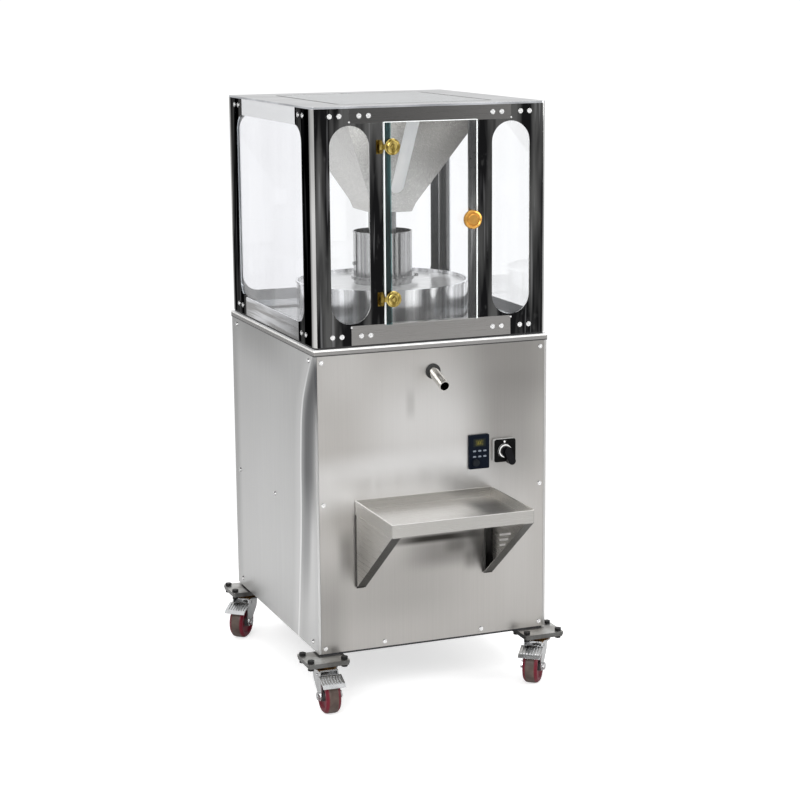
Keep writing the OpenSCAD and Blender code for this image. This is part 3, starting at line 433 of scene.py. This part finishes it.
def stone(name, color):
    m = Mat(name)
    f = m.noise((220, 220, 220), 6.0, 0.7)
    g = m.noise((35, 35, 35), 4.0, 0.6)
    c = m.mix(m.span(f, 0, 1, 0.3, 0.7), shade(color, 0.7), shade(color, 1.3))
    c = m.mix(m.span(g, 0, 0.3, 0.4, 0.7), c, (0.3, 0.27, 0.24))
    m.surface(c, 0.0, 0.9, m.bump(f, 0.6, 0.001, 0.0005))
    return m.m


def rubber(name, color):
    m = Mat(name)
    f = m.noise((700, 700, 700), 3.0, 0.6)
    c = m.mix(m.span(f, 0, 1, 0.3, 0.7), color, shade(color, 1.5))
    m.surface(c, 0.0, m.span(f, 0.52, 0.7), m.bump(f, 0.2, 0.0002))
    return m.m


# ---------- places ----------
def centre(node):
    lo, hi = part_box(node)
    return tuple((a + b) / 2 for a, b in zip(lo, hi))


MILL = centre("drum")  # a point of the mill's axis
DIAL = (0.159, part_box("switch_plate")[0][2] + 0.0235)  # the switch's dial and dot: x from the middle, and height
DOT = (DIAL[0] - 0.001, DIAL[1] + 0.0198)
DISC_R, DOT_R = 0.0142, 0.0021
SHELF_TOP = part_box("brackets")[1][2]
# RIM_W and RIM_H size the painted highlight on the shelf's rim
RIM_W, RIM_H, LIP_H = 0.003, 0.0016, 0.03  # the shelf's bright rim and its lip
HOPPER_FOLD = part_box("hopper_window")[0][2] - 0.014  # foot of the sloping walls
HOPPER_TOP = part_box("hopper")[1][2]
SKIRT_H = 0.017  # upright part below that foot
LID_LINE = 0.0045  # width of the lid pane's dark edge
RAILS_SPLIT = 1.0  # height between the lower and the upper rails
RACE_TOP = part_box("fork_fl")[1][2] + 0.009
TREAD_HALF, TREAD_R, HUB_R = 0.0085, 0.0355, 0.012  # the wheel's tread and hub


def painted_shelf_light(m, c):
    """Painted light and shade on the shelf and brackets: a painted highlight on the folded rim at the shelf's front
    and left, a lighter painted top with a painted dark patch, a darker lip, black at the wall and dark where the
    sheet faces down, these three as painted shade."""
    x, y, z = m.place()
    lo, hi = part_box("brackets")
    edge = m.most(m.under(y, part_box("shelf")[0][1] - MID.y + RIM_W),
                  m.under(x, lo[0] - MID.x + RIM_W))
    painted_rim = m.times(edge, m.over(z, SHELF_TOP - RIM_H))
    c = m.mix(painted_rim, c, (1.0, 0.99, 0.97))
    painted_wall_shade = m.times(m.over(y, hi[1] - MID.y - 2 * RIM_W), m.under(z, SHELF_TOP - LIP_H))
    c = m.mix(m.times(painted_wall_shade, 0.9), c, (0.01, 0.01, 0.01))
    up = m.facing("Z", 0.7)
    c = m.mix(m.times(up, 0.45), c, (0.90, 0.88, 0.85))
    painted_dark_patch = m.times(m.near(x, hi[0] - MID.x - 0.035, 0.02, 0.04), m.near(y, hi[1] - MID.y - 0.09, 0.02, 0.08))
    c = m.mix(m.times(m.times(painted_dark_patch, up), 0.85), c, (0.04, 0.04, 0.038))
    painted_lip_shade = m.times(m.facing("Y", -0.8), m.over(z, SHELF_TOP - LIP_H))
    c = m.mix(m.times(painted_lip_shade, 0.18), c, (0.1, 0.1, 0.095))
    return m.mix(m.times(m.facing("Z", -0.3), 0.85), c, (0.03, 0.028, 0.026))


def painted_deck_light(m, c):
    """Painted light on the deck sheet: light where it faces up, plain at its folded edge with a painted highlight
    along its top corner and a dark line along its foot.
    """
    z = m.place()[2]
    lo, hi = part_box("top_deck")
    c = m.mix(m.over(z, hi[2] - 0.0035), c, (0.85, 0.84, 0.82))
    c = m.mix(m.under(z, lo[2] + 0.0022), c, (0.03, 0.03, 0.03))
    return m.mix(m.facing("Z", 0.7), c, (0.97, 0.975, 0.985))


def painted_hopper_light(m, c):
    """Painted light and shade on the hopper's sloping front wall: light towards its foot and dark towards its upper
    right. The outlet below it is painted darker as shade."""
    x, _, z = m.place()
    slope = m.times(m.facing("Y", -0.4), m.facing("Z", -0.05))
    low = m.span(m.minus(z, m.times(x, -0.6)), 1.0, 0.0, HOPPER_FOLD, HOPPER_TOP - 0.04)
    c = m.mix(m.times(slope, low), c, (0.98, 0.97, 0.95))
    right = m.span(m.plus(z, m.times(x, 1.2)), 0.0, 0.8, HOPPER_FOLD + 0.1, HOPPER_TOP + 0.12)
    c = m.mix(m.times(slope, right), c, (0.16, 0.15, 0.14))
    return m.mix(m.under(z, HOPPER_FOLD - SKIRT_H - 0.0005), c, (0.22, 0.22, 0.22))


def sight_strip():
    """Milky clear strip behind the hopper's slot, with drawn-out light and dark smears."""
    m = Mat("window_strip")
    f = m.noise((40, 8, 8), 3.0, 0.5)
    c = m.mix(m.span(f, 0, 1, 0.3, 0.7), (0.80, 0.82, 0.84), (1.0, 1.0, 1.0))
    m.surface(c, 0.0, m.span(f, 0.1, 0.2), m.bump(f, 0.05, 0.0003, 0.0003), Transmission_Weight=0.15)
    return m.m


def painted_dark_upper_rail(m, c):
    """Painted reflection: the upper front rail is dark, less so at its right end."""
    x, _, z = m.place()
    dark = m.times(m.over(z, RAILS_SPLIT), m.span(x, 0.85, 0.5, -0.2, 0.2))
    return m.mix(dark, c, (0.05, 0.05, 0.05))


def painted_side_rail_light(m, c):
    """Polished rail drawn with painted reflections: light at the back, nearly black beside the front post, with
    streaks.
    """
    x, y, z = m.place()
    f = m.noise((3, 3.5, 70), 3.0, 0.55, loc=(0, 1, 0))
    c = m.mix(m.times(m.over(z, RAILS_SPLIT), 0.8), c, (0.80, 0.81, 0.85))
    c = m.mix(m.span(f, 0, 0.8, 0.46, 0.6), c, (0.88, 0.89, 0.92))
    low = m.times(m.under(z, RAILS_SPLIT), m.under(x, 0.0))
    low = m.times(low, m.facing("X", -0.5))
    c = m.mix(m.times(m.minus(1.0, low), 0.8), c, (0.95, 0.96, 0.98))
    return m.mix(m.times(low, m.span(y, 0.0, 0.85, 0.05, -0.23)), c, (0.03, 0.03, 0.03))


def boss_brass():
    """Polished brass cap, darker round the rim and on its sides, as in the photograph."""
    m = Mat("clamp_brass")
    f = m.noise((90, 90, 90), 4.0, 0.6)
    g = m.noise((160, 160, 40), 2.0, 0.5, loc=(2, 0, 0))
    c = m.mix(m.span(g, 0, 1, 0.4, 0.6), (0.30, 0.21, 0.045), (0.80, 0.62, 0.20))
    # painted shade: darker round the rim and on the sides, by the normal
    c = m.mix(m.span(m.math("ABSOLUTE", m.normal("Y")), 0.75, 0.0, 0.3, 0.9), c, (0.06, 0.045, 0.01))
    m.surface(c, 1.0, m.span(f, 0.1, 0.18), m.bump(f, 0.03, 0.0003, 0.0005))
    return m.m


def screw_metal():
    """Bright domed heads with painted shade on their flanks."""
    m = Mat("screw_metal")
    f = m.noise((300, 300, 300), 3.0, 0.6)
    crown = m.most(m.math("ABSOLUTE", m.normal("Y")), m.math("ABSOLUTE", m.normal("X")))
    c = m.mix(m.span(f, 0, 1, 0.35, 0.65), (0.80, 0.80, 0.80), (0.95, 0.95, 0.95))
    c = m.mix(m.span(crown, 0.95, 0.0, 0.72, 0.93), c, (0.02, 0.02, 0.02))
    m.surface(c, 0.7, m.span(f, 0.2, 0.32), m.bump(f, 0.05, 0.0002, 0.0003))
    return m.m


def lid_edges(m):
    """Dark line along the lid pane's ground edges, as a mask."""
    x, y, _ = m.place()
    lo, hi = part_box("lid_glass")
    side = m.least(m.minus(x, lo[0] - MID.x), m.minus(hi[0] - MID.x, x))
    end = m.least(m.minus(y, lo[1] - MID.y), m.minus(hi[1] - MID.y, y))
    return m.times(m.under(m.least(side, end), LID_LINE), 0.85)


def top_plate():
    """Mirror-polished plate round the hopper's mouth, drawn as a painted reflection: broad clouds from grey to pale
    blue-white.
    """
    m = Mat("top_metal")
    f = m.noise((9, 9, 9), 3.0, 0.5, loc=(0.3, 0.8, 0))
    g = m.noise((60, 60, 60), 3.0, 0.5)
    c = m.mix(m.span(f, 0, 1, 0.35, 0.65), (0.50, 0.51, 0.54), (0.88, 0.90, 0.94))
    m.surface(c, 1.0, m.span(g, 0.04, 0.08), m.bump(g, 0.02, 0.0003, 0.0005))
    return m.m


def caster_plate():
    """Dull zinc plate with painted shade on its edges and a brown, greased swivel race below it."""
    m = Mat("plate_zinc")
    _, _, z = m.place()
    f = m.noise((150, 150, 150), 5.0, 0.65)
    g = m.noise((30, 30, 30), 3.0, 0.5)
    c = m.mix(m.span(g, 0, 1, 0.35, 0.65), (0.38, 0.37, 0.35), (0.66, 0.66, 0.64))
    # painted shade on the plate's edges
    painted_rim = m.span(m.math("ABSOLUTE", m.normal("Z")), 0.75, 0.0, 0.3, 0.8)
    c = m.mix(painted_rim, c, (0.03, 0.03, 0.03))
    race = m.under(z, RACE_TOP - 0.0002)
    c = m.mix(race, c, m.mix(m.span(f, 0, 1, 0.35, 0.65), (0.10, 0.05, 0.02), (0.36, 0.2, 0.07)))
    m.surface(c, 1.0, m.span(f, 0.24, 0.42), m.bump(f, 0.15, 0.0004, 0.0006))
    return m.m


def wheel(k):
    """Red wheel with a worn grey-brown tread and a dark hub. Places are measured from the wheel's own axle."""
    m = Mat("wheel_red_" + k)
    axis = next(Vector(j["axis"]) for j in frame["joints"] if j["name"] == "roll_" + k)
    mid = Vector(centre("wheel_" + k))
    at = m.coords(loc=tuple(-mid))
    dot = m.n("VectorMath", operation="DOT_PRODUCT")
    m.link(at, dot.inputs[0])
    dot.inputs[1].default_value = tuple(axis)
    size = m.n("VectorMath", operation="LENGTH")
    m.link(at, size.inputs[0])
    w = m.math("ABSOLUTE", dot.outputs["Value"])
    rad = m.math("SQRT", m.minus(m.times(size.outputs["Value"], size.outputs["Value"]), m.times(w, w)))
    f = m.noise((400, 400, 400), 4.0, 0.6)
    tread = m.times(m.near(w, 0.0, TREAD_HALF, 0.003), m.over(rad, TREAD_R))
    c = m.mix(m.span(f, 0, 1, 0.3, 0.7), (0.085, 0.003, 0.010), (0.15, 0.006, 0.018))
    worn = m.noise((45, 45, 45), 3.0, 0.5)
    c = m.mix(tread, c, m.mix(m.span(worn, 0, 1, 0.3, 0.7), (0.05, 0.033, 0.028), (0.10, 0.075, 0.063)))
    c = m.mix(m.under(rad, HUB_R), c, (0.05, 0.05, 0.05))
    m.surface(c, 0.0, m.span(f, 0.32, 0.5), m.bump(f, 0.15, 0.0003, 0.0006), Specular_IOR_Level=0.3)
    return m.m


# ---------- materials of the CAD nodes ----------
WARM = (0.525, 0.508, 0.487)

# painted light and shade on the front sheet: painted shadows under and beside the shelf, painted highlights and
# painted reflections
FRONT_PAINTED_LIGHT = (
    (0.17, 0.15, 0.70, 0.12, -0.42),  # dark upper right
    (-0.02, 0.16, 0.54, 0.2, 0.36),  # light middle
    (-0.2, 0.07, 0.72, 0.1, 0.12),  # light upper left
    (-0.10, 0.2, 0.24, 0.10, -0.20),  # darker below the shelf
    (0.19, 0.05, 0.40, 0.25, 0.08),  # light beside the shelf
    (-0.24, 0.05, 0.18, 0.13, -0.25),  # dark lower left edge
    (0.005, 0.125, 0.335, 0.0115, -0.95),  # dark line under the shelf
    (0.05, 0.03, 0.315, 0.02, -0.4),  # two dark patches below that line
    (0.085, 0.02, 0.28, 0.025, -0.4),
    (-0.195, 0.02, 0.32, 0.06, -0.35),  # shade beside the left bracket
    (-0.05, 0.012, 0.625, 0.035, -0.18),  # the spout, mirrored
    (0.158, 0.024, 0.315, 0.03, -0.4),  # shade beside the right bracket's slots
    (-0.08, 0.25, 0.468, 0.065, 0.8),  # light band above the shelf
    (0.17, 0.10, 0.54, 0.14, -0.35),  # dark round the controls
    (0.03, 0.11, 0.305, 0.04, -0.45),  # broad shade under the shelf
)
# painted light and shade on the left sheet
LEFT_PAINTED_LIGHT = (
    (0.1, 0.25, 0.76, 0.11, -0.32),  # dark along the top
    (0.0, 0.3, 0.35, 0.3, 0.12),  # light lower middle
    (-0.25, 0.05, 0.35, 0.4, 0.3),  # light beside the front corner
    (0.285, 0.045, 0.45, 0.45, -0.25),  # dark rear edge
)

M = {
    "base_frame": paint("black_frame", (0.02, 0.02, 0.022), 0.4),
    # painted light: the sheets of one metal take different colours, the left lightest, the right next and the front
    # and back darkest
    "panel_front": brushed("sheet_front", WARM, 0.34, seed=1.3, wave=0.06, painted_light=("X", FRONT_PAINTED_LIGHT)),
    "panel_left": brushed("sheet_left", (0.64, 0.64, 0.636), 0.34, seed=4.7, wave=0.06, extra=painted_bend_light,
                          painted_light=("Y", LEFT_PAINTED_LIGHT)),
    "panel_right": brushed("sheet_right", (0.58, 0.575, 0.565), 0.34, seed=8.1),
    "panel_back": brushed("sheet_back", WARM, 0.34, seed=3.9),
    "top_deck": brushed("sheet_deck", (0.21, 0.205, 0.2), 0.26, grain=(5, 900, 900), seed=2.0, extra=painted_deck_light,
                        metal=0.15),
    "screws": screw_metal(),
    "gasket": rubber("gasket_rubber", (0.012, 0.012, 0.012)),
    "posts_front": polished_post("post_metal"),
    "posts_back": polished_post("post_back_metal"),
    "rails_front": brushed("rail_metal", (0.35, 0.34, 0.33), 0.3, grain=(6, 900, 900), extra=painted_dark_upper_rail),
    "rails_closed": brushed("rail_side_metal", (0.36, 0.355, 0.35), 0.2, grain=(6, 6, 900), extra=painted_side_rail_light,
                            metal=0.55),
    "glass_front": glass("pane_front", faces="Y"),
    "glass_closed": glass("pane_side", tint=(0.975, 0.98, 1.0), faces="XY", smear_grain=(14, 14, 0.7), streaks=0.955),
    "top_frame": top_plate(),
    "lid_glass": glass("pane_lid", tint=(0.9, 0.95, 1.0), faces="Z", shade_mask=lid_edges),
    "door_glass": glass("pane_door", edge=(0.02, 0.16, 0.16), faces="Y", strip=True),
    "hinge_bases": smooth_metal("hinge_brass", (0.25, 0.17, 0.035), 0.2, wear=0.1),
    "hinge_clamps": boss_brass(),
    "door_knob": smooth_metal("knob_brass", (0.80, 0.42, 0.10), 0.22),
    "hopper": brushed("hopper_metal", (0.60, 0.585, 0.56), 0.24, grain=(900, 900, 8), wave=0.16, seed=5.0,
                      extra=painted_hopper_light, metal=0.7),
    "hopper_window": sight_strip(),
    "feed_tube": turned("tube_metal", (0.45, 0.45, 0.45), 0.14),
    "tube_clamp": turned("clamp_ring_metal", (0.5, 0.5, 0.5), 0.2),
    "drum": turned("drum_metal", (0.88, 0.88, 0.90), 0.14, streak=0.34, metal=0.88, top=(0.95, 0.96, 0.98)),
    "drum_lid": turned("drum_lid_metal", (0.98, 0.985, 1.0), 0.14, streak=0.85, metal=0.3),
    "upper_stone": stone("stone_upper", (0.22, 0.21, 0.195)),
    "runner_stone": stone("stone_runner", (0.2, 0.19, 0.18)),
    "spindle": turned("spindle_metal", (0.4, 0.4, 0.41), 0.25),
    "bearing_housing": cast("housing_iron", (0.08, 0.085, 0.09)),
    "driven_pulley": cast("pulley_iron", (0.14, 0.14, 0.15), 0.5),
    "belt": rubber("belt_rubber", (0.012, 0.012, 0.012)),
    "drive_pulley": turned("drive_metal", (0.35, 0.35, 0.36), 0.3),
    "motor": paint("motor_paint", (0.035, 0.07, 0.14), 0.4),
    "spout": smooth_metal("spout_metal", (0.62, 0.61, 0.58), 0.14),
    "grommet": rubber("grommet_rubber", (0.012, 0.012, 0.012)),
    "shelf": brushed("shelf_metal", (0.60, 0.585, 0.56), 0.3, grain=(5, 900, 900), seed=6.0, extra=painted_shelf_light),
    # painted shade: the brackets take a darker colour than the shelf
    "brackets": brushed("bracket_metal", (0.50, 0.49, 0.47), 0.3, grain=(900, 5, 900), seed=7.0, extra=painted_shelf_light),
    "shelf_pads": rubber("pad_rubber", (0.01, 0.01, 0.01)),
    "keypad_body": paint("keypad_plastic", (0.004, 0.006, 0.011), 0.4, speck=0.1, spec=0.04),
    "keypad_display": display(),
    "keypad_keys": paint("key_print", (0.16, 0.18, 0.21), 0.4, spec=0.2),
    "speed_knob": paint("knob_plastic", (0.005, 0.007, 0.010), 0.35, spec=0.2),
    "switch_plate": switch_plastic(),
    "switch_handle": paint("handle_plastic", (0.003, 0.003, 0.004), 0.3, spec=0.12),
    "power_gland": paint("gland_plastic", (0.015, 0.015, 0.015), 0.45),
    "caster_plates": caster_plate(),
    "caster_bolts": paint("bolt_black", (0.012, 0.012, 0.012), 0.4, metallic=0.5),
}
ZINC = smooth_metal("fork_zinc", (0.60, 0.605, 0.61), 0.22)
PEDAL = smooth_metal("pedal_zinc", (0.68, 0.69, 0.70), 0.2)
for k in ("fl", "fr", "rl", "rr"):
    M["fork_" + k] = ZINC
    M["pedal_" + k] = PEDAL
    M["wheel_" + k] = wheel(k)

for name, obj in NODES.items():
    obj.data.materials.clear()
    obj.data.materials.append(M[name])

# ---------- stage ----------
FLOOR_HALF = 12.0
SEEN = 1.06  # strength of the white that the camera sees, also through glass
PAPER_FADE = (0.55, 1.3)  # distances over which the seen floor turns into that white
MIRROR_FADE = (3.0, 9.0)  # distances over which the mirrored floor turns into the sky's grey
WORLD_LOW, WORLD_HIGH, WORLD_FILL = 0.62, 1.0, 0.55
WORLD_FROM, WORLD_TO = -0.1, 0.9  # heights of the mirrored sky's low and high strength
SKYLINE = WORLD_LOW - WORLD_FROM * (WORLD_HIGH - WORLD_LOW)


def make_floor():
    mesh = bpy.data.meshes.new("floor")
    s = FLOOR_HALF
    mesh.from_pydata([(-s, -s, 0), (s, -s, 0), (s, s, 0), (-s, s, 0)], [], [(0, 1, 2, 3)])
    floor = bpy.data.objects.new("floor", mesh)
    bpy.context.scene.collection.objects.link(floor)
    m = Mat("floor_white")
    lit = m.n("BsdfDiffuse")
    lit.inputs["Color"].default_value = (0.80, 0.80, 0.80, 1)
    lift = m.n("Emission")
    lift.inputs["Color"].default_value = (1, 1, 1, 1)
    lp = m.n("LightPath")
    through = lp.outputs["Is Transmission Ray"]
    seen = m.most(lp.outputs["Is Camera Ray"], through)
    # mirrored in the panes and sheets, the floor's far end fades to the sky's grey, so that no level edge shows
    mirrored = m.times(lp.outputs["Is Glossy Ray"], m.minus(1.0, through))
    x, y, _ = m.place()
    far = m.length(x, y)
    m.put(lift.inputs["Strength"], m.times(seen, 0.6))
    near = m.n("AddShader")
    m.link(lit.outputs[0], near.inputs[0])
    m.link(lift.outputs[0], near.inputs[1])
    paper = m.n("Emission")
    paper.inputs["Color"].default_value = (1, 1, 1, 1)
    m.put(paper.inputs["Strength"], m.plus(m.times(seen, SEEN), m.times(mirrored, SKYLINE)))
    fade = m.most(m.times(seen, m.span(far, 0.0, 1.0, *PAPER_FADE)),
                  m.times(mirrored, m.span(far, 0.0, 1.0, *MIRROR_FADE)))
    m.link(m.blend(fade, near, paper).outputs[0], m.out.inputs["Surface"])
    mesh.materials.append(m.m)


def make_world():
    w = bpy.data.worlds.new("studio")
    w.use_nodes = True
    bpy.context.scene.world = w
    t = w.node_tree
    t.nodes.clear()
    out = t.nodes.new("ShaderNodeOutputWorld")
    bg = t.nodes.new("ShaderNodeBackground")
    lp = t.nodes.new("ShaderNodeLightPath")
    tc = t.nodes.new("ShaderNodeTexCoord")
    sep = t.nodes.new("ShaderNodeSeparateXYZ")
    t.links.new(tc.outputs["Generated"], sep.inputs[0])

    def val(op, a, b):
        n = t.nodes.new("ShaderNodeMath")
        n.operation = op
        for s, v in zip(n.inputs, (a, b)):
            if isinstance(v, bpy.types.NodeSocket):
                t.links.new(v, s)
            else:
                s.default_value = v
        return n.outputs[0]

    high = t.nodes.new("ShaderNodeMapRange")
    t.links.new(sep.outputs["Z"], high.inputs["Value"])
    high.inputs["From Min"].default_value = WORLD_FROM
    high.inputs["From Max"].default_value = WORLD_TO
    high.inputs["To Min"].default_value = WORLD_LOW
    high.inputs["To Max"].default_value = WORLD_HIGH
    seen = val("MAXIMUM", lp.outputs["Is Camera Ray"], lp.outputs["Is Transmission Ray"])
    glossy = val("MULTIPLY", lp.outputs["Is Glossy Ray"], high.outputs["Result"])
    base = val("MULTIPLY", val("SUBTRACT", 1.0, lp.outputs["Is Glossy Ray"]), WORLD_FILL)
    strength = val("MAXIMUM", val("MULTIPLY", seen, SEEN), val("ADD", glossy, base))
    t.links.new(strength, bg.inputs["Strength"])
    bg.inputs["Color"].default_value = (1, 1, 1, 1)
    t.links.new(bg.outputs[0], out.inputs["Surface"])


# name, place, point it faces, power, size, whether it is mirrored; no lamp shows through the glass
LAMPS = (
    ("key", (-2.6, -3.2, 3.0), (0, 0, 0.6), 90, 2.2, True),
    ("fill", (3.0, -2.4, 2.0), (0, 0, 0.6), 45, 2.2, True),
    ("top", (0.3, 0.2, 4.0), (0, 0, 0), 60, 3.0, True),
    ("lift", (-0.9, -2.1, 0.4), (0, 0, 1.15), 22, 1.0, False),
)


def make_lamps():
    for name, pos, aim, power, size, mirrored in LAMPS:
        data = bpy.data.lights.new(name, "AREA")
        data.energy = power
        data.shape = "RECTANGLE"
        data.size = data.size_y = size
        obj = bpy.data.objects.new(name, data)
        bpy.context.scene.collection.objects.link(obj)
        obj.location = pos
        obj.rotation_euler = (Vector(aim) - Vector(pos)).to_track_quat("-Z", "Y").to_euler()
        obj.visible_glossy = mirrored
        obj.visible_transmission = False


make_camera()
make_floor()
make_world()
make_lamps()

bpy.context.scene.view_settings.view_transform = "Standard"
